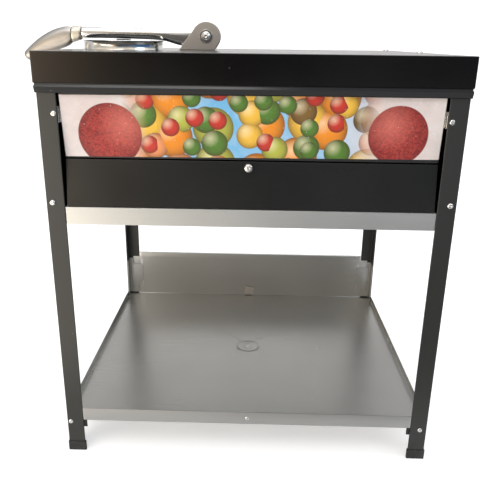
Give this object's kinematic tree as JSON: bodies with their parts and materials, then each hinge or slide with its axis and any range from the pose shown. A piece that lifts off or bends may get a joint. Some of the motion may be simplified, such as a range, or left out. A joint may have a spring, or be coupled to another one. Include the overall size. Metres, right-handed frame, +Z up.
{
  "type": "lever ice crusher table",
  "caption": "Sheet-metal table with a hand lever that presses ice through a round blade grate, an ice drawer under the top and a low storage shelf.",
  "frame": {"origin": "On the floor, under the middle of the object's box, with the grip at rest.", "axes": "+Z up, the front with the drawer faces -Y, +X to the right seen from the front."},
  "size_m": [0.8261, 0.6269, 0.8145],
  "materials": {
    "black_paint": "semi-gloss black paint on bent steel",
    "black_plastic": "moulded black plastic",
    "printed_film": "printed vinyl film",
    "stainless": "brushed stainless sheet",
    "bright_plating": "bright nickel plating",
    "polished_aluminium": "polished cast aluminium"
  },
  "bodies": {
    "table": {"table_top": "black_paint", "leg_front_left": "black_paint", "leg_front_right": "black_paint", "leg_rear_left": "black_paint", "leg_rear_right": "black_paint", "foot_cap_front_left": "black_plastic", "foot_cap_front_right": "black_plastic", "foot_cap_rear_left": "black_plastic", "foot_cap_rear_right": "black_plastic", "fascia_panel": "black_paint", "fascia_print": "printed_film", "fascia_clip_left": "bright_plating", "fascia_clip_right": "bright_plating", "side_panel_left": "black_paint", "side_panel_right": "black_paint", "rear_panel": "black_paint", "front_rail": "stainless", "drip_pan": "stainless", "drawer_rail_left": "stainless", "drawer_rail_right": "stainless", "shelf_tray": "stainless", "tray_stiffener": "stainless", "tray_cross_stiffener_left": "stainless", "tray_cross_stiffener_right": "stainless", "tray_bracket_front_left": "black_paint", "tray_bracket_front_right": "black_paint", "tray_bracket_rear_left": "black_paint", "tray_bracket_rear_right": "black_paint", "lip_washer": "stainless", "rear_washer": "stainless", "lip_screw": "bright_plating", "shelf_rivet": "bright_plating", "fascia_rivet_left": "bright_plating", "fascia_rivet_right": "bright_plating", "pan_bolt_left": "bright_plating", "pan_bolt_right": "bright_plating", "tray_rivet_left": "bright_plating", "tray_rivet_right": "bright_plating", "hopper_collar": "bright_plating", "blade_grate": "stainless", "ice_chute": "stainless", "lever_bracket": "stainless", "bracket_backing_plate": "stainless", "bracket_bolt_left": "bright_plating", "bracket_bolt_right": "bright_plating", "pivot_bolt": "bright_plating", "pivot_washer_front": "bright_plating", "pivot_washer_rear": "bright_plating", "pivot_nut": "bright_plating"},
    "drawer": {"drawer_box": "stainless", "drawer_front": "black_paint", "drawer_knob": "bright_plating"},
    "lever": {"lever_arm": "polished_aluminium", "lever_collar": "bright_plating", "lever_grip": "polished_aluminium", "pivot_bush": "stainless", "press_yoke": "polished_aluminium", "press_pin": "bright_plating"},
    "press": {"press_plate": "polished_aluminium", "press_lug": "polished_aluminium"}
  },
  "joints": [
    {"name": "drawer_slide", "type": "slide", "parent": "table", "child": "drawer", "axis": [0, -1, 0], "range_m": [0, 0.38]},
    {"name": "lever_lift", "type": "hinge", "parent": "table", "child": "lever", "pos_m": [-0.03635, -0.02, 0.7865], "axis": [0, 1, 0], "range_deg": [0, 105]},
    {"name": "press_swivel", "type": "hinge", "parent": "lever", "child": "press", "pos_m": [-0.20635, -0.02, 0.769], "axis": [0, 1, 0], "range_deg": [-5, 5]}
  ]
}
